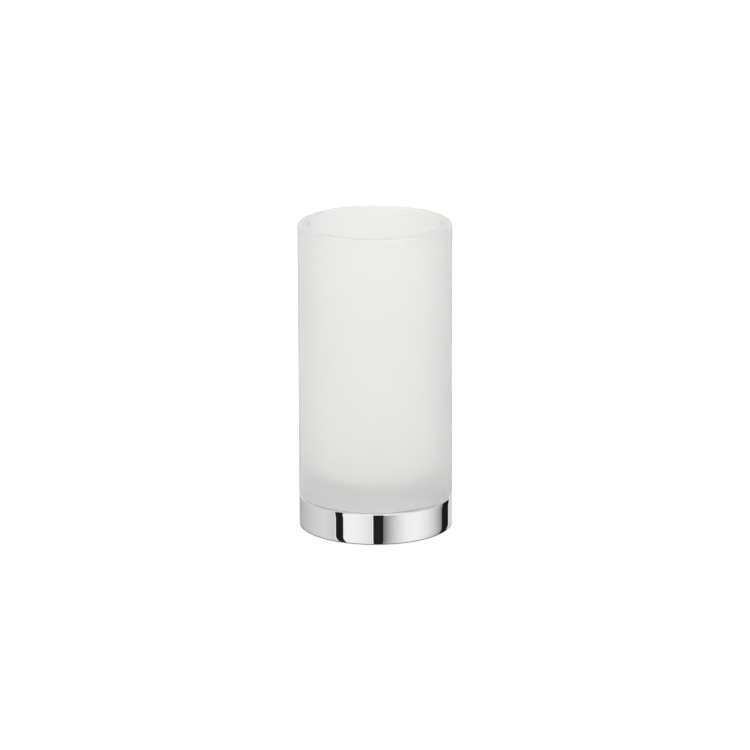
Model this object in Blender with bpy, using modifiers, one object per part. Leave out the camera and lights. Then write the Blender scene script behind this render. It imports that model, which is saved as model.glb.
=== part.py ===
"""Standing tumbler holder: a satin glass tumbler that drops into a low chromed cup.

The cup holds a ribbed plastic insert that grips the foot of the glass, and stands on
an anti-slip pad. Metres, +Z up, origin on the table at the axis of the holder.
"""

import math

import bmesh
import bpy

# Chromed cup
HOLDER_DIAMETER = 0.0600
CUP_HEIGHT = 0.0125
CUP_WALL = 0.0024
CUP_FLOOR = 0.0024
LIP_OUTER_RADIUS = 0.0006
MOUTH_CHAMFER = 0.0004
HEEL_RADIUS = 0.0006
EASE_RADIUS = 0.0095
EASE_DEGREES = 10
BORE_CORNER_RADIUS = 0.0006
FOOT_LAND_WIDTH = 0.0040

# Anti-slip pad in the recess under the cup
PAD_THICKNESS = 0.0016
PAD_STANDS_PROUD = 0.0005
PAD_EDGE_RADIUS = 0.0003
PAD_CLEARANCE = 0.0003

# Plastic insert in the bore of the cup
INSERT_WALL = 0.0010
INSERT_FLOOR = 0.0010
INSERT_CLEARANCE = 0.0003
INSERT_BELOW_LIP = 0.0006
INSERT_LEAD_IN = 0.0005
INSERT_HEEL_CHAMFER = 0.0008
DRAIN_HOLE_DIAMETER = 0.0120
RIB_REACH = 0.0005
RIB_BELOW_TOP = 0.0008
RIB_COUNT = 16
RIB_SIDES = 8
RIB_TIP_SHARE = 0.4

# Satin glass tumbler: a straight body on a narrower, solid foot
GLASS_FLUSH_INSET = 0.0001
GLASS_BODY_HEIGHT = 0.1080
GLASS_WALL = 0.0041
GLASS_FLOOR_ABOVE_SHOULDER = 0.0057
GLASS_FLOOR_DIP = 0.0006
CAVITY_CORNER_RADIUS = 0.0080
RIM_OUTER_RADIUS = 0.0012
RIM_INNER_RADIUS = 0.0004
SHOULDER_GAP = 0.0003
SHOULDER_RADIUS = 0.0005
SHOULDER_ROOT_RADIUS = 0.0006
FOOT_CLEARANCE = 0.0003
FOOT_EDGE_RADIUS = 0.0010
PUNT_RIM_WIDTH = 0.0050
PUNT_DEPTH = 0.0010

# Facets
TURN_STEPS = 72
MERGE_DISTANCE = 0.00001

# Radii that follow from the sizes above
holder_radius = HOLDER_DIAMETER / 2
bore_radius = holder_radius - CUP_WALL
recess_radius = holder_radius - FOOT_LAND_WIDTH
pad_radius = recess_radius - PAD_CLEARANCE
insert_outer_radius = bore_radius - INSERT_CLEARANCE
insert_inner_radius = insert_outer_radius - INSERT_WALL
body_radius = holder_radius - GLASS_FLUSH_INSET
foot_radius = insert_inner_radius - RIB_REACH - FOOT_CLEARANCE
cavity_radius = body_radius - GLASS_WALL
punt_radius = foot_radius - PUNT_RIM_WIDTH

# Heights above the underside of the cup that follow from the sizes above
recess_depth = PAD_THICKNESS + PAD_CLEARANCE - PAD_STANDS_PROUD
cup_floor_top = recess_depth + CUP_FLOOR
insert_level = cup_floor_top + INSERT_CLEARANCE
foot_level = insert_level + INSERT_FLOOR + FOOT_CLEARANCE

# Heights of the insert and of the tumbler's foot, each above its own underside
insert_height = CUP_HEIGHT - INSERT_BELOW_LIP - insert_level
foot_height = CUP_HEIGHT + SHOULDER_GAP - foot_level

# Directions in a profile's plane, in degrees anticlockwise from +X
EAST, NORTH, WEST, SOUTH = 0, 90, 180, -90


def arc(x, z, radius, start, end, steps):
    """Points of an arc about (x, z) in the profile's plane."""
    angles = [math.radians(start + (end - start) * i / steps) for i in range(steps + 1)]
    return [(x + radius * math.cos(a), z + radius * math.sin(a)) for a in angles]


def eased_edge(x, z, radius):
    """A rounded upper edge that polishing has eased into its wall, from the top down to the wall."""
    turn = math.radians(EASE_DEGREES)
    wall_x = x - EASE_RADIUS
    small_x = wall_x + (EASE_RADIUS - radius) * math.cos(turn)
    small_z = z - radius
    wall_z = small_z - (EASE_RADIUS - radius) * math.sin(turn)
    edge = arc(small_x, small_z, radius, NORTH, EASE_DEGREES, 4)
    wall = arc(wall_x, wall_z, EASE_RADIUS, EASE_DEGREES, EAST, 3)
    return edge + wall[1:]


def dish(radius, edge_height, centre_height, steps):
    """Points of a shallow parabola from the axis out to radius."""
    shares = [i / steps for i in range(steps + 1)]
    rise = edge_height - centre_height
    return [(radius * s, centre_height + rise * s * s) for s in shares]


def cup_profile():
    """From the middle of the cup's floor up the bore, over the lip and down to the recess."""
    corner = BORE_CORNER_RADIUS
    heel = [(x, -z) for x, z in reversed(eased_edge(holder_radius, 0, HEEL_RADIUS))]
    return [
        (0, cup_floor_top),
        *arc(bore_radius - corner, cup_floor_top + corner, corner, SOUTH, EAST, 3),
        (bore_radius, CUP_HEIGHT - MOUTH_CHAMFER),
        (bore_radius + MOUTH_CHAMFER, CUP_HEIGHT),
        *eased_edge(holder_radius, CUP_HEIGHT, LIP_OUTER_RADIUS),
        *heel,
        (recess_radius, 0),
        (recess_radius, recess_depth),
        (0, recess_depth),
    ]


def pad_profile():
    """From the middle of the pad's top out to its rounded edge and back along its underside."""
    edge = PAD_EDGE_RADIUS
    return [
        (0, PAD_THICKNESS),
        (pad_radius, PAD_THICKNESS),
        *arc(pad_radius - edge, edge, edge, EAST, SOUTH, 3),
        (0, 0),
    ]


def insert_profile():
    """A cup's section that ends at the drain hole, so its loop is closed."""
    hole_radius = DRAIN_HOLE_DIAMETER / 2
    return [
        (hole_radius, INSERT_FLOOR),
        (insert_inner_radius, INSERT_FLOOR),
        (insert_inner_radius, insert_height - INSERT_LEAD_IN),
        (insert_inner_radius + INSERT_LEAD_IN, insert_height),
        (insert_outer_radius, insert_height),
        (insert_outer_radius, INSERT_HEEL_CHAMFER),
        (insert_outer_radius - INSERT_HEEL_CHAMFER, 0),
        (hole_radius, 0),
    ]


def tumbler_profile():
    """From the middle of the cavity's floor up the inside, over the rim and down to the foot."""
    floor = foot_height + GLASS_FLOOR_ABOVE_SHOULDER
    rim = foot_height + GLASS_BODY_HEIGHT
    corner = CAVITY_CORNER_RADIUS
    inner, outer = RIM_INNER_RADIUS, RIM_OUTER_RADIUS
    shoulder, root = SHOULDER_RADIUS, SHOULDER_ROOT_RADIUS
    edge = FOOT_EDGE_RADIUS
    return [
        *dish(cavity_radius - corner, floor, floor - GLASS_FLOOR_DIP, 3),
        *arc(cavity_radius - corner, floor + corner, corner, SOUTH, EAST, 8)[1:],
        *arc(cavity_radius + inner, rim - inner, inner, WEST, NORTH, 4),
        *arc(body_radius - outer, rim - outer, outer, NORTH, EAST, 4),
        *arc(body_radius - shoulder, foot_height + shoulder, shoulder, EAST, SOUTH, 4),
        *arc(foot_radius + root, foot_height - root, root, NORTH, WEST, 3),
        *arc(foot_radius - edge, edge, edge, EAST, SOUTH, 3),
        *reversed(dish(punt_radius, 0, PUNT_DEPTH, 4)),
    ]


def new_collection(name):
    collection = bpy.data.collections.new(name)
    bpy.context.scene.collection.children.link(collection)
    return collection


def new_material(name, colour, roughness, metallic, transmission=0.0):
    material = bpy.data.materials.new(name)
    material.use_nodes = True
    shader = material.node_tree.nodes["Principled BSDF"]
    shader.inputs["Base Color"].default_value = (*colour, 1.0)
    shader.inputs["Roughness"].default_value = roughness
    shader.inputs["Metallic"].default_value = metallic
    shader.inputs["Transmission Weight"].default_value = transmission
    return material


def place(name, data, collection, parent, height):
    """A new object on the axis, at a height above its parent's origin."""
    obj = bpy.data.objects.new(name, data)
    collection.objects.link(obj)
    obj.parent = parent
    obj.location.z = height
    return obj


def profile_mesh(name, profile, closed, material):
    """A wire of (radius, height) points, ready to be turned about the axis."""
    edges = [(i, i + 1) for i in range(len(profile) - 1)]
    if closed:
        edges.append((len(profile) - 1, 0))
    mesh = bpy.data.meshes.new(name)
    mesh.from_pydata([(x, 0, z) for x, z in profile], edges, [])
    mesh.materials.append(material)
    return mesh


def turn(obj):
    screw = obj.modifiers.new("turn", "SCREW")
    screw.axis = "Z"
    screw.angle = math.tau
    screw.steps = TURN_STEPS
    screw.render_steps = TURN_STEPS
    screw.use_merge_vertices = True
    screw.merge_threshold = MERGE_DISTANCE
    screw.use_smooth_shade = True


def rib_cluster_mesh():
    """Upright, tapering ribs round the bore of the insert, rooted in its wall and floor."""
    bottom = INSERT_FLOOR / 2
    top = insert_height - RIB_BELOW_TOP
    shape = bmesh.new()
    for i in range(RIB_COUNT):
        angle = math.tau * i / RIB_COUNT
        rib = bmesh.ops.create_cone(
            shape,
            cap_ends=True,
            segments=RIB_SIDES,
            radius1=RIB_REACH,
            radius2=RIB_REACH * RIB_TIP_SHARE,
            depth=top - bottom,
        )
        x = insert_inner_radius * math.cos(angle)
        y = insert_inner_radius * math.sin(angle)
        bmesh.ops.translate(shape, verts=rib["verts"], vec=(x, y, (top + bottom) / 2))
    mesh = bpy.data.meshes.new("rib_cluster")
    shape.to_mesh(mesh)
    shape.free()
    return mesh


def make_cup(parts):
    chrome = new_material("chrome", (0.78, 0.79, 0.80), 0.05, 1.0)
    mesh = profile_mesh("base_cup", cup_profile(), False, chrome)
    cup = place("base_cup", mesh, parts, None, PAD_STANDS_PROUD)
    turn(cup)
    return cup


def make_pad(parts, cup):
    rubber = new_material("pad_rubber", (0.03, 0.03, 0.03), 0.85, 0.0)
    mesh = profile_mesh("foot_pad", pad_profile(), False, rubber)
    turn(place("foot_pad", mesh, parts, cup, -PAD_STANDS_PROUD))


def make_insert(parts, helpers, cup):
    plastic = new_material("insert_plastic", (0.80, 0.81, 0.80), 0.45, 0.0)
    mesh = profile_mesh("seat_insert", insert_profile(), True, plastic)
    insert = place("seat_insert", mesh, parts, cup, insert_level)
    turn(insert)
    ribs = place("rib_cluster", rib_cluster_mesh(), helpers, insert, 0)
    ribs.hide_render = True
    ribs.display_type = "WIRE"
    join = insert.modifiers.new("ribs", "BOOLEAN")
    join.operation = "UNION"
    join.solver = "EXACT"
    join.object = ribs


def make_tumbler(parts, cup):
    """The glass hangs on an empty on the axis, which lifts it straight out of the cup."""
    glass = new_material("satin_glass", (0.92, 0.93, 0.92), 0.45, 0.0, transmission=0.8)
    lift = place("tumbler_lift", None, parts, cup, foot_level)
    mesh = profile_mesh("tumbler", tumbler_profile(), False, glass)
    turn(place("tumbler", mesh, parts, lift, 0))


def main():
    for obj in list(bpy.data.objects):
        bpy.data.objects.remove(obj)
    parts = new_collection("tumbler_holder")
    helpers = new_collection("helpers")
    cup = make_cup(parts)
    make_pad(parts, cup)
    make_insert(parts, helpers, cup)
    make_tumbler(parts, cup)


main()
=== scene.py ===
"""Looks of the standing tumbler holder: satin glass in a mirror-polished chromed cup."""

import math

import bpy
from mathutils import Matrix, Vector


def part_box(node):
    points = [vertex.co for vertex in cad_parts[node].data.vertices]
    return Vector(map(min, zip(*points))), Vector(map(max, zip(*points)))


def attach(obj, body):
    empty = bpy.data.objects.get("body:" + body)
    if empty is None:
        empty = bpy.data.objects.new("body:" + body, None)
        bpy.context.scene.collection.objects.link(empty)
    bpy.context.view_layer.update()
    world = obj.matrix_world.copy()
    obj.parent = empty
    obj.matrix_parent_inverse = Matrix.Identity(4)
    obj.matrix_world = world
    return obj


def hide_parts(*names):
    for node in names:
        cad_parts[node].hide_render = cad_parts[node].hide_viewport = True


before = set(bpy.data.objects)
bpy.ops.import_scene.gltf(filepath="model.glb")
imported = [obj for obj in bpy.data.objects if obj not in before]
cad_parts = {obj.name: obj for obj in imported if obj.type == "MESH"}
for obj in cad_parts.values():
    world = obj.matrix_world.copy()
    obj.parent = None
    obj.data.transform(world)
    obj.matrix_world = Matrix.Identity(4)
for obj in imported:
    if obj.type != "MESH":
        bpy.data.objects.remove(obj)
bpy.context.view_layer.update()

# Turned surfaces. An arc's step in degrees also stays under ARC_STEP_REACH over its radius, so
# that wide arcs are as smooth as small ones. Runs over SUPPORTED_LENGTH get a point SUPPORT
# from each end.
SEGMENTS = 256
RIB_SEGMENTS = 24
ARC_STEP_DEGREES = 7.5
ARC_STEP_REACH = 0.018
DISH_STEPS = 8
SUPPORT = 0.00008
SUPPORTED_LENGTH = 6 * SUPPORT
ON_AXIS = SUPPORT / 100
SHARP_ANGLE_DEGREES = 40

# Chromed cup
CUP_WALL = 0.0024
CUP_FLOOR = 0.0024
LIP_OUTER_RADIUS = 0.0006
LIP_INNER_RADIUS = 0.0004
HEEL_RADIUS = 0.0006
EASE_RADIUS = 0.0095
EASE_DEGREES = 10
BORE_CORNER_RADIUS = 0.0006
FOOT_LAND_WIDTH = 0.0040
LAND_EDGE_RADIUS = 0.0002
PAD_CLEARANCE = 0.0003

# Anti-slip pad
PAD_EDGE_RADIUS = 0.0003

# Plastic insert
INSERT_WALL = 0.0010
INSERT_FLOOR = 0.0010
INSERT_EDGE_RADIUS = 0.0002
INSERT_LEAD_IN = 0.0005
INSERT_HEEL_CHAMFER = 0.0008
DRAIN_HOLE_DIAMETER = 0.0120
RIB_REACH = 0.0005
RIB_BELOW_TOP = 0.0008
RIB_COUNT = 16
RIB_TIP_SHARE = 0.4

# Satin glass tumbler
GLASS_WALL = 0.0041
GLASS_BODY_HEIGHT = 0.1080
GLASS_FLOOR_ABOVE_SHOULDER = 0.0057
GLASS_FLOOR_DIP = 0.0006
CAVITY_CORNER_RADIUS = 0.0080
RIM_OUTER_RADIUS = 0.0012
RIM_INNER_RADIUS = 0.0004
SHOULDER_RADIUS = 0.0005
SHOULDER_ROOT_RADIUS = 0.0006
FOOT_EDGE_RADIUS = 0.0010
FOOT_STEP_WIDTH = 0.0044
PUNT_RIM_WIDTH = 0.0050
PUNT_DEPTH = 0.0010

# Where most of a noise's values lie, which a finish spreads over its two levels
NOISE_SPAN = (0.3, 0.7)

# Look of the satin glass: uneven etching, its fine grain, and the tint of the glass in its depth
GLASS_COLOUR = (1.0, 0.993, 0.986, 1)
GLASS_IOR = 1.37
GLASS_TRANSMISSION = 0.66
ETCHING_PATCH = 0.018
ETCHING_ROUGHNESS = (0.535, 0.595)
ETCHING_GRAIN = 0.0003
ETCHING_DEPTH = 0.000004
GLASS_TINT = (0.74, 0.95, 0.92, 1)
GLASS_TINT_DENSITY = 4

# Look of the chrome: turning marks that run round the cup, and waves in the plating
CHROME_COLOUR = (0.87, 0.872, 0.875, 1)
CHROME_ROUGHNESS = (0.008, 0.022)
TURNING_MARK_LENGTH = 0.004
TURNING_MARK_SLIMNESS = 14
TURNING_MARK_DEPTH = 0.0000002
PLATING_WAVE = 0.009
PLATING_WAVE_DEPTH = 0.00001

# Look of the insert's plastic
PLASTIC_COLOUR = (0.93, 0.93, 0.92, 1)
PLASTIC_MILKINESS = 0.3
PLASTIC_SCATTER_DEPTH = 0.0015
PLASTIC_IOR = 1.49
PLASTIC_PATCH = 0.004
PLASTIC_ROUGHNESS = (0.32, 0.48)
MOULD_GRAIN = 0.0004
MOULD_GRAIN_DEPTH = 0.00001

# Look of the pad's foam rubber
RUBBER_GREY = (0.022, 0.042)
RUBBER_WEAR_PATCH = 0.006
RUBBER_WEAR_SPAN = (0.35, 0.7)
RUBBER_CELL = 0.0005
RUBBER_CELL_DEPTH = 0.00012
RUBBER_ROUGHNESS = (0.95, 0.75)

# Camera, from the fit to the photo's outlines
CAMERA_PLACE = (0, -1.82344, 0.56031)
CAMERA_PITCH = 0.2676
CAMERA_YAW = 0.000075
CAMERA_ROLL = -0.0030
CAMERA_LENS_MM = 233.70
SENSOR_WIDTH_MM = 36

# Directions in a profile's plane, in degrees anticlockwise from +X
EAST, NORTH, WEST, SOUTH = 0, 90, 180, -90


def arc(x, z, radius, start, end):
    """Points of an arc about (x, z) in the profile's plane."""
    steps = math.ceil(abs(end - start) / min(ARC_STEP_DEGREES, ARC_STEP_REACH / radius))
    angles = [math.radians(start + (end - start) * i / steps) for i in range(steps + 1)]
    return [(x + radius * math.cos(a), z + radius * math.sin(a)) for a in angles]


def eased_edge(x, z, radius):
    """A rounded upper edge, eased into its wall by polishing, from the top down."""
    turn = math.radians(EASE_DEGREES)
    wall_x = x - EASE_RADIUS
    small_x = wall_x + (EASE_RADIUS - radius) * math.cos(turn)
    small_z = z - radius
    wall_z = small_z - (EASE_RADIUS - radius) * math.sin(turn)
    edge = arc(small_x, small_z, radius, NORTH, EASE_DEGREES)
    wall = arc(wall_x, wall_z, EASE_RADIUS, EASE_DEGREES, EAST)
    return edge + wall[1:]


def dish(radius, edge_height, centre_height):
    """Points of a shallow parabola from the axis out to radius."""
    shares = [i / DISH_STEPS for i in range(DISH_STEPS + 1)]
    rise = edge_height - centre_height
    return [(radius * s, centre_height + rise * s * s) for s in shares]


def supported(profile, closed):
    """The profile with a point just inside each end of its long runs, for true shading."""
    result = []
    count = len(profile)
    for i, (x, z) in enumerate(profile):
        result.append((x, z))
        if i == count - 1 and not closed:
            break
        next_x, next_z = profile[(i + 1) % count]
        length = math.hypot(next_x - x, next_z - z)
        if length > SUPPORTED_LENGTH:
            for share in (SUPPORT / length, 1 - SUPPORT / length):
                result.append((x + (next_x - x) * share, z + (next_z - z) * share))
    return result


def add_turned(vertices, faces, profile, closed=False, segments=SEGMENTS, centre=(0, 0)):
    """Adds a surface of revolution through (radius, height) points, outer side downwards."""
    rings = []
    for x, z in supported(profile, closed):
        first = len(vertices)
        if x < ON_AXIS:
            rings.append([first] * segments)
            vertices.append((*centre, z))
            continue
        rings.append(range(first, first + segments))
        for i in range(segments):
            angle = math.tau * i / segments
            vertices.append((centre[0] + x * math.cos(angle), centre[1] + x * math.sin(angle), z))
    if closed:
        rings.append(rings[0])
    for upper, lower in zip(rings, rings[1:]):
        for i in range(segments):
            j = (i + 1) % segments
            corners = (upper[i], lower[i], lower[j], upper[j])
            faces.append(tuple(dict.fromkeys(corners)))


def shade(mesh):
    mesh.shade_smooth()
    mesh.set_sharp_from_angle(angle=math.radians(SHARP_ANGLE_DEGREES))


def new_object(name, vertices, faces):
    mesh = bpy.data.meshes.new(name)
    mesh.from_pydata(vertices, [], faces)
    shade(mesh)
    obj = bpy.data.objects.new(name, mesh)
    bpy.context.scene.collection.objects.link(obj)
    return obj


def turned(name, profile, closed=False):
    vertices, faces = [], []
    add_turned(vertices, faces, profile, closed)
    return new_object(name, vertices, faces)


def join(body, addition):
    """Gives the body a mesh that is the union of both, and removes the addition."""
    union = body.modifiers.new("join", "BOOLEAN")
    union.operation = "UNION"
    union.solver = "EXACT"
    union.object = addition
    evaluated = body.evaluated_get(bpy.context.evaluated_depsgraph_get())
    mesh = bpy.data.meshes.new_from_object(evaluated)
    body.modifiers.clear()
    body.data = mesh
    shade(mesh)
    bpy.data.objects.remove(addition)


def dress(obj, material, node, body):
    """Finishes a piece that stands for a node, and lets it ride on the node's body."""
    obj.data.materials.clear()
    obj.data.materials.append(material)
    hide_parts(node)
    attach(obj, body)


def new_material(name):
    material = bpy.data.materials.new(name)
    material.use_nodes = True
    return material, material.node_tree, material.node_tree.nodes["Principled BSDF"]


def math_node(tree, operation, *values):
    node = tree.nodes.new("ShaderNodeMath")
    node.operation = operation
    for socket, value in zip(node.inputs, values):
        if isinstance(value, bpy.types.NodeSocket):
            tree.links.new(value, socket)
        else:
            socket.default_value = value
    return node.outputs[0]


def map_range(tree, value, from_low, from_high, to_low=0, to_high=1, smooth=False):
    node = tree.nodes.new("ShaderNodeMapRange")
    node.interpolation_type = "SMOOTHSTEP" if smooth else "LINEAR"
    tree.links.new(value, node.inputs["Value"])
    node.inputs["From Min"].default_value = from_low
    node.inputs["From Max"].default_value = from_high
    node.inputs["To Min"].default_value = to_low
    node.inputs["To Max"].default_value = to_high
    return node.outputs["Result"]


def noise(tree, grain, detail=2, flatten=1):
    """Noise whose lumps are about one grain wide, and flatten times less high."""
    place = tree.nodes.new("ShaderNodeMapping")
    place.inputs["Scale"].default_value = (1, 1, flatten)
    tree.links.new(tree.nodes.new("ShaderNodeTexCoord").outputs["Object"], place.inputs["Vector"])
    node = tree.nodes.new("ShaderNodeTexNoise")
    tree.links.new(place.outputs["Vector"], node.inputs["Vector"])
    node.inputs["Scale"].default_value = 1 / grain
    node.inputs["Detail"].default_value = detail
    return node.outputs["Fac"]


def bump(tree, height, depth, under=None):
    """A normal for a surface whose height varies by depth, in metres, on top of another normal."""
    node = tree.nodes.new("ShaderNodeBump")
    node.inputs["Distance"].default_value = depth
    tree.links.new(height, node.inputs["Height"])
    if under:
        tree.links.new(under, node.inputs["Normal"])
    return node.outputs["Normal"]


def satin_glass():
    """Etched glass: milky through and through, with a fine grain and slightly uneven etching."""
    material, tree, shader = new_material("satin_glass")
    shader.inputs["Base Color"].default_value = GLASS_COLOUR
    shader.inputs["IOR"].default_value = GLASS_IOR
    shader.inputs["Transmission Weight"].default_value = GLASS_TRANSMISSION
    roughness = map_range(tree, noise(tree, ETCHING_PATCH, 3), *NOISE_SPAN, *ETCHING_ROUGHNESS)
    tree.links.new(roughness, shader.inputs["Roughness"])
    grain = bump(tree, noise(tree, ETCHING_GRAIN), ETCHING_DEPTH)
    tree.links.new(grain, shader.inputs["Normal"])
    absorption = tree.nodes.new("ShaderNodeVolumeAbsorption")
    absorption.inputs["Color"].default_value = GLASS_TINT
    absorption.inputs["Density"].default_value = GLASS_TINT_DENSITY
    tree.links.new(absorption.outputs["Volume"], tree.nodes["Material Output"].inputs["Volume"])
    return material


def chrome():
    """Mirror-polished plating, with slight waves and the faint turning marks of the brass."""
    material, tree, shader = new_material("chrome")
    shader.inputs["Base Color"].default_value = CHROME_COLOUR
    shader.inputs["Metallic"].default_value = 1
    marks = noise(tree, TURNING_MARK_LENGTH, 3, flatten=TURNING_MARK_SLIMNESS)
    roughness = map_range(tree, marks, *NOISE_SPAN, *CHROME_ROUGHNESS)
    tree.links.new(roughness, shader.inputs["Roughness"])
    waves = bump(tree, noise(tree, PLATING_WAVE, 1), PLATING_WAVE_DEPTH)
    tree.links.new(bump(tree, marks, TURNING_MARK_DEPTH, waves), shader.inputs["Normal"])
    return material


def insert_plastic():
    """Natural moulded plastic: milky, a little waxy, with a fine mould grain."""
    material, tree, shader = new_material("insert_plastic")
    shader.inputs["Base Color"].default_value = PLASTIC_COLOUR
    shader.inputs["Subsurface Weight"].default_value = PLASTIC_MILKINESS
    shader.inputs["Subsurface Scale"].default_value = PLASTIC_SCATTER_DEPTH
    shader.inputs["IOR"].default_value = PLASTIC_IOR
    roughness = map_range(tree, noise(tree, PLASTIC_PATCH, 3), *NOISE_SPAN, *PLASTIC_ROUGHNESS)
    tree.links.new(roughness, shader.inputs["Roughness"])
    grain = bump(tree, noise(tree, MOULD_GRAIN), MOULD_GRAIN_DEPTH)
    tree.links.new(grain, shader.inputs["Normal"])
    return material


def pad_rubber():
    """Black foam rubber with fine open cells, a little greyer where it is worn."""
    material, tree, shader = new_material("pad_rubber")
    voronoi = tree.nodes.new("ShaderNodeTexVoronoi")
    voronoi.inputs["Scale"].default_value = 1 / RUBBER_CELL
    tree.links.new(tree.nodes.new("ShaderNodeTexCoord").outputs["Object"], voronoi.inputs["Vector"])
    cells = voronoi.outputs["Distance"]
    wear = map_range(tree, noise(tree, RUBBER_WEAR_PATCH, 4), *RUBBER_WEAR_SPAN, *RUBBER_GREY)
    tree.links.new(wear, shader.inputs["Base Color"])
    tree.links.new(map_range(tree, cells, 0, 1, *RUBBER_ROUGHNESS), shader.inputs["Roughness"])
    tree.links.new(bump(tree, cells, RUBBER_CELL_DEPTH), shader.inputs["Normal"])
    return material


def make_tumbler():
    low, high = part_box("tumbler")
    body = high.x
    shoulder = high.z - GLASS_BODY_HEIGHT
    floor = shoulder + GLASS_FLOOR_ABOVE_SHOULDER
    cavity = body - GLASS_WALL
    foot = body - FOOT_STEP_WIDTH
    corner = CAVITY_CORNER_RADIUS
    inner, outer = RIM_INNER_RADIUS, RIM_OUTER_RADIUS
    edge, root = FOOT_EDGE_RADIUS, SHOULDER_ROOT_RADIUS
    profile = [
        *dish(cavity - corner, floor, floor - GLASS_FLOOR_DIP),
        *arc(cavity - corner, floor + corner, corner, SOUTH, EAST)[1:],
        *arc(cavity + inner, high.z - inner, inner, WEST, NORTH),
        *arc(body - outer, high.z - outer, outer, NORTH, EAST),
        *arc(body - SHOULDER_RADIUS, shoulder + SHOULDER_RADIUS, SHOULDER_RADIUS, EAST, SOUTH),
        *arc(foot + root, shoulder - root, root, NORTH, WEST),
        *arc(foot - edge, low.z + edge, edge, EAST, SOUTH),
        *reversed(dish(foot - PUNT_RIM_WIDTH, low.z, low.z + PUNT_DEPTH)),
    ]
    dress(turned("satin_tumbler", profile), satin_glass(), "tumbler", "tumbler")


def make_cup():
    low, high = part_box("base_cup")
    pad_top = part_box("foot_pad")[1].z
    bore = high.x - CUP_WALL
    recess = high.x - FOOT_LAND_WIDTH
    ceiling = pad_top + PAD_CLEARANCE
    floor = ceiling + CUP_FLOOR
    corner, land = BORE_CORNER_RADIUS, LAND_EDGE_RADIUS
    lip_in = LIP_INNER_RADIUS
    heel = [(x, low.z - z) for x, z in reversed(eased_edge(high.x, 0, HEEL_RADIUS))]
    profile = [
        (0, floor),
        *arc(bore - corner, floor + corner, corner, SOUTH, EAST),
        *arc(bore + lip_in, high.z - lip_in, lip_in, WEST, NORTH),
        *eased_edge(high.x, high.z, LIP_OUTER_RADIUS),
        *heel,
        *arc(recess + land, low.z + land, land, SOUTH, -WEST),
        (recess, ceiling),
        (0, ceiling),
    ]
    dress(turned("chrome_cup", profile), chrome(), "base_cup", "base")


def rib_cluster(radius, bottom, top):
    """Upright ribs on a circle, each a tapering peg with a domed tip."""
    tip = RIB_REACH * RIB_TIP_SHARE
    profile = [*arc(0, top - tip, tip, NORTH, EAST), (RIB_REACH, bottom), (0, bottom)]
    vertices, faces = [], []
    for i in range(RIB_COUNT):
        angle = math.tau * i / RIB_COUNT
        centre = (radius * math.cos(angle), radius * math.sin(angle))
        add_turned(vertices, faces, profile, segments=RIB_SEGMENTS, centre=centre)
    return new_object("ribs", vertices, faces)


def make_insert():
    low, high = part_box("seat_insert")
    outer = high.x
    inner = outer - INSERT_WALL
    hole = DRAIN_HOLE_DIAMETER / 2
    edge = INSERT_EDGE_RADIUS
    floor = low.z + INSERT_FLOOR
    profile = [
        *arc(hole + edge, floor - edge, edge, WEST, NORTH),
        (inner, floor),
        (inner, high.z - INSERT_LEAD_IN),
        (inner + INSERT_LEAD_IN, high.z),
        *arc(outer - edge, high.z - edge, edge, NORTH, EAST),
        (outer, low.z + INSERT_HEEL_CHAMFER),
        (outer - INSERT_HEEL_CHAMFER, low.z),
        *arc(hole + edge, low.z + edge, edge, SOUTH, -WEST),
    ]
    insert = turned("ribbed_insert", profile, closed=True)
    join(insert, rib_cluster(inner, low.z + INSERT_FLOOR / 2, high.z - RIB_BELOW_TOP))
    dress(insert, insert_plastic(), "seat_insert", "base")


def make_pad():
    low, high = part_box("foot_pad")
    edge = PAD_EDGE_RADIUS
    profile = [
        (0, high.z),
        (high.x, high.z),
        *arc(high.x - edge, low.z + edge, edge, EAST, SOUTH),
        (0, low.z),
    ]
    dress(turned("anti_slip_pad", profile), pad_rubber(), "foot_pad", "base")


# What stands round the object as the polished cup shows it, by azimuth in degrees: 0 is towards
# the camera and 90 to its right. Each has its start and end, the height where it ends (1 is
# straight up and -1 straight down), its brightness, the azimuth where it is brightest, how far it
# reaches to the left and right of there before it has faded out, and the power of that fading.
# A reach of EVEN is so long that the card doesn't fade.
EVEN = 1000
HORIZON = 0.05
CARDS = {
    "left_wall": (-165, -62.4, HORIZON, 0.745, -82, 160, 95, 1.3),
    "left_sliver": (-63.9, -62.4, HORIZON, 0.98, -63, EVEN, EVEN, 2),
    "left_flag": (-62.4, -49.8, 0.88, 0.013, -55, EVEN, EVEN, 2),
    "left_softbox": (-49.8, -5.8, HORIZON, 1.0, -40, 45, 85, 2),
    "front_dip": (-7.4, -5.8, HORIZON, 0.69, -6, EVEN, EVEN, 2),
    "front_sliver": (-5.8, -3.95, HORIZON, 1.05, -4, EVEN, EVEN, 2),
    "front_flag": (-3.95, 11.5, 0.12, 0.016, 4, EVEN, EVEN, 2),
    "right_softbox": (11.5, 118.0, HORIZON, 1.0, 58, 52, 70, 2),
    "right_flag": (118.0, 140.9, 0.15, 0.012, 130, EVEN, EVEN, 2),
    "right_sliver": (140.9, 143.2, HORIZON, 1.0, 142, EVEN, EVEN, 2),
    "right_wall": (143.2, 165, HORIZON, 0.74, 145, EVEN, 60, 2),
}
CARD_EDGE_DEGREES = 0.5
CARD_TOP_BLUR = 0.06
# What the studio looks like to matt and satin surfaces at every 30 degrees of azimuth
STUDIO = {
    -180: (1.12, 1.08, 1.10),
    -150: (1.06, 0.97, 1.01),
    -120: (0.765, 0.70, 0.71),
    -90: (0.54, 0.57, 0.56),
    -60: (0.77, 0.82, 0.805),
    -30: (1.09, 1.045, 1.05),
    0: (1.11, 1.055, 1.06),
    30: (1.09, 1.04, 1.035),
    60: (0.725, 0.735, 0.725),
    90: (0.41, 0.465, 0.455),
    120: (0.61, 0.655, 0.665),
    150: (0.93, 0.935, 0.95),
    180: (1.12, 1.08, 1.10),
}
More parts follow.
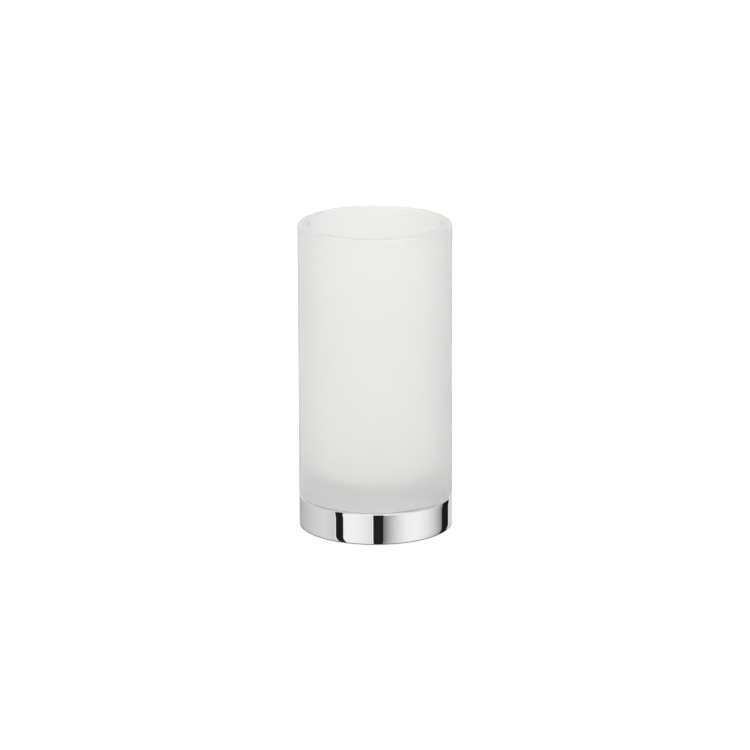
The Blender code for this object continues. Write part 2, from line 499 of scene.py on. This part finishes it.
# The heights between which the ceiling takes over, its share of the light straight above, and
# its colour, as a light and in mirror images
CEILING_HEIGHTS = (0.4, 1.0)
CEILING_SHARE = 0.6
CEILING_COLOUR = (1.45, 1.45, 1.45, 1)
CEILING_MIRRORED = (0.80, 0.80, 0.80, 1)


def fade(tree, azimuth, brightest, left_reach, right_reach, power):
    """1 at the brightest azimuth, falling off with a power of the distance on each side."""
    left = map_range(tree, azimuth, brightest - left_reach, brightest, 1, 0)
    right = map_range(tree, azimuth, brightest, brightest + right_reach)
    loss = math_node(tree, "POWER", math_node(tree, "ADD", left, right), power)
    return math_node(tree, "SUBTRACT", 1, loss)


def layer(tree, under, share, over):
    """The colour under where share is 0, and over where it is 1."""
    mix = tree.nodes.new("ShaderNodeMix")
    mix.data_type = "RGBA"
    tree.links.new(share, mix.inputs["Factor"])
    for name, colour in (("A", under), ("B", over)):
        if isinstance(colour, bpy.types.NodeSocket):
            tree.links.new(colour, mix.inputs[name])
        else:
            mix.inputs[name].default_value = colour
    return mix.outputs["Result"]


def directions(tree):
    """The azimuth in degrees and the height of the direction that is looked at."""
    parts = tree.nodes.new("ShaderNodeSeparateXYZ")
    tree.links.new(tree.nodes.new("ShaderNodeTexCoord").outputs["Generated"], parts.inputs[0])
    toward_camera = math_node(tree, "MULTIPLY", parts.outputs["Y"], -1)
    turn = math_node(tree, "ARCTAN2", parts.outputs["X"], toward_camera)
    return math_node(tree, "DEGREES", turn), parts.outputs["Z"]


def scattered_colour(tree, azimuth, height):
    """What matt and satin surfaces are lit by: the studio all round, whiter towards the ceiling."""
    around = tree.nodes.new("ShaderNodeValToRGB")
    tree.links.new(map_range(tree, azimuth, -180, 180), around.inputs["Fac"])
    around.color_ramp.interpolation = "B_SPLINE"
    stops = around.color_ramp.elements
    stops.remove(stops[0])
    stops[0].position = 1
    stops[0].color = (*STUDIO[180], 1)
    for angle in list(STUDIO)[:-1]:
        stops.new((angle + 180) / 360).color = (*STUDIO[angle], 1)
    high = map_range(tree, height, *CEILING_HEIGHTS, 0, CEILING_SHARE, smooth=True)
    return layer(tree, around.outputs["Color"], high, CEILING_COLOUR)


def mirrored_colour(tree, azimuth, height, around):
    """What mirror images show: cards up to their heights, then what is around, and the ceiling."""
    high = map_range(tree, height, *CEILING_HEIGHTS, smooth=True)
    colour = layer(tree, around, high, CEILING_MIRRORED)
    half = CARD_EDGE_DEGREES / 2
    for start, end, top, brightness, *falloff in CARDS.values():
        rise = map_range(tree, azimuth, start - half, start + half)
        fall = map_range(tree, azimuth, end - half, end + half, 1, 0)
        below = map_range(tree, height, top - CARD_TOP_BLUR, top, 1, 0, smooth=True)
        share = math_node(tree, "MULTIPLY", math_node(tree, "MULTIPLY", rise, fall), below)
        card = math_node(tree, "MULTIPLY", fade(tree, azimuth, *falloff), brightness)
        colour = layer(tree, colour, share, card)
    return colour


def mirrored_share(tree, path):
    """1 for a reflected glossy ray and 0 for all others: a refracted ray counts as glossy too."""
    return math_node(tree, "SUBTRACT", path["Is Glossy Ray"], path["Is Transmission Ray"])


def mix_shaders(tree, share, first, second):
    """The first shader where share is 0, the second where it is 1."""
    mix = tree.nodes.new("ShaderNodeMixShader")
    tree.links.new(share, mix.inputs["Fac"])
    tree.links.new(first.outputs[0], mix.inputs[1])
    tree.links.new(second.outputs[0], mix.inputs[2])
    return mix


def make_world():
    world = bpy.data.worlds.new("studio")
    world.use_nodes = True
    bpy.context.scene.world = world
    # Rays find the studio by themselves, since what it shows depends on the kind of ray
    world.cycles.sampling_method = "NONE"
    tree = world.node_tree
    tree.nodes.clear()
    path = tree.nodes.new("ShaderNodeLightPath").outputs
    azimuth, height = directions(tree)
    backdrop = tree.nodes.new("ShaderNodeBackground")
    backdrop.inputs["Color"].default_value = (1, 1, 1, 1)
    around = scattered_colour(tree, azimuth, height)
    ambient = tree.nodes.new("ShaderNodeBackground")
    tree.links.new(around, ambient.inputs["Color"])
    cards = tree.nodes.new("ShaderNodeBackground")
    tree.links.new(mirrored_colour(tree, azimuth, height, around), cards.inputs["Color"])
    lit = mix_shaders(tree, mirrored_share(tree, path), ambient, cards)
    seen = mix_shaders(tree, path["Is Camera Ray"], lit, backdrop)
    output = tree.nodes.new("ShaderNodeOutputWorld")
    tree.links.new(seen.outputs[0], output.inputs["Surface"])


# The floor glows nearly white to the camera and a little less towards the object. The light that
# falls on it makes it full white, so that only a close shadow shows.
FLOOR_HALF_WIDTH = 4.0
FLOOR_COLOUR = (0.25, 0.25, 0.25, 1)
FLOOR_GLOW = 0.76
FLOOR_GLOW_SEEN = 0.91
# The cup mirrors a painted shadow on the floor: a near black glow close to where it stands, fading
# out by distance from the axis, which makes the dark line at its foot
PAINTED_SHADOW_RADII = (0.0301, 0.0310)
PAINTED_SHADOW_LEVEL = 0.02


def mirrored_painted_shadow(tree):
    """Painted shadow: a near black glow close to the cup, where no light reaches the floor, and
    open further out.
    """
    distance = tree.nodes.new("ShaderNodeVectorMath")
    distance.operation = "LENGTH"
    place = tree.nodes.new("ShaderNodeNewGeometry").outputs["Position"]
    tree.links.new(place, distance.inputs[0])
    # Painted shadow: a faint glow that stands in for the shade under the cup
    painted_shadow = tree.nodes.new("ShaderNodeEmission")
    painted_shadow.inputs["Strength"].default_value = PAINTED_SHADOW_LEVEL
    clear = tree.nodes.new("ShaderNodeBsdfTransparent")
    away = map_range(tree, distance.outputs["Value"], *PAINTED_SHADOW_RADII, smooth=True)
    return mix_shaders(tree, away, painted_shadow, clear)


def floor_material():
    material = bpy.data.materials.new("floor")
    material.use_nodes = True
    material.cycles.emission_sampling = "NONE"
    tree = material.node_tree
    tree.nodes.clear()
    matt = tree.nodes.new("ShaderNodeBsdfDiffuse")
    matt.inputs["Color"].default_value = FLOOR_COLOUR
    path = tree.nodes.new("ShaderNodeLightPath").outputs
    glow = tree.nodes.new("ShaderNodeEmission")
    strength = map_range(tree, path["Is Camera Ray"], 0, 1, FLOOR_GLOW, FLOOR_GLOW_SEEN)
    tree.links.new(strength, glow.inputs["Strength"])
    both = tree.nodes.new("ShaderNodeAddShader")
    tree.links.new(matt.outputs[0], both.inputs[0])
    tree.links.new(glow.outputs[0], both.inputs[1])
    # Mirror rays see the painted shadow close to the cup, and beyond it the studio through the
    # floor
    above = mix_shaders(tree, mirrored_share(tree, path), both, mirrored_painted_shadow(tree))
    clear = tree.nodes.new("ShaderNodeBsdfTransparent")
    from_below = tree.nodes.new("ShaderNodeNewGeometry").outputs["Backfacing"]
    mix = mix_shaders(tree, from_below, above, clear)
    output = tree.nodes.new("ShaderNodeOutputMaterial")
    tree.links.new(mix.outputs[0], output.inputs["Surface"])
    return material


def make_floor():
    size = FLOOR_HALF_WIDTH
    corners = [(-size, -size, 0), (size, -size, 0), (size, size, 0), (-size, size, 0)]
    floor = new_object("floor", corners, [(0, 1, 2, 3)])
    floor.data.materials.append(floor_material())


def make_camera():
    data = bpy.data.cameras.new("camera")
    data.sensor_width = SENSOR_WIDTH_MM
    data.lens = CAMERA_LENS_MM
    camera = bpy.data.objects.new("camera", data)
    bpy.context.scene.collection.objects.link(camera)
    turn = (
        Matrix.Rotation(CAMERA_YAW, 4, "Z")
        @ Matrix.Rotation(math.pi / 2 - CAMERA_PITCH, 4, "X")
        @ Matrix.Rotation(CAMERA_ROLL, 4, "Z")
    )
    camera.matrix_world = Matrix.Translation(CAMERA_PLACE) @ turn
    bpy.context.scene.camera = camera


# Light scatters many times between the satin faces of the thick bottom
LIGHT_BOUNCES = 32


def allow_scattering():
    cycles = bpy.context.scene.cycles
    cycles.max_bounces = LIGHT_BOUNCES
    cycles.diffuse_bounces = LIGHT_BOUNCES
    cycles.glossy_bounces = LIGHT_BOUNCES
    cycles.transmission_bounces = LIGHT_BOUNCES


def main():
    make_camera()
    make_world()
    make_floor()
    make_tumbler()
    make_cup()
    make_insert()
    make_pad()
    allow_scattering()
    bpy.context.scene.view_settings.view_transform = "Standard"


main()
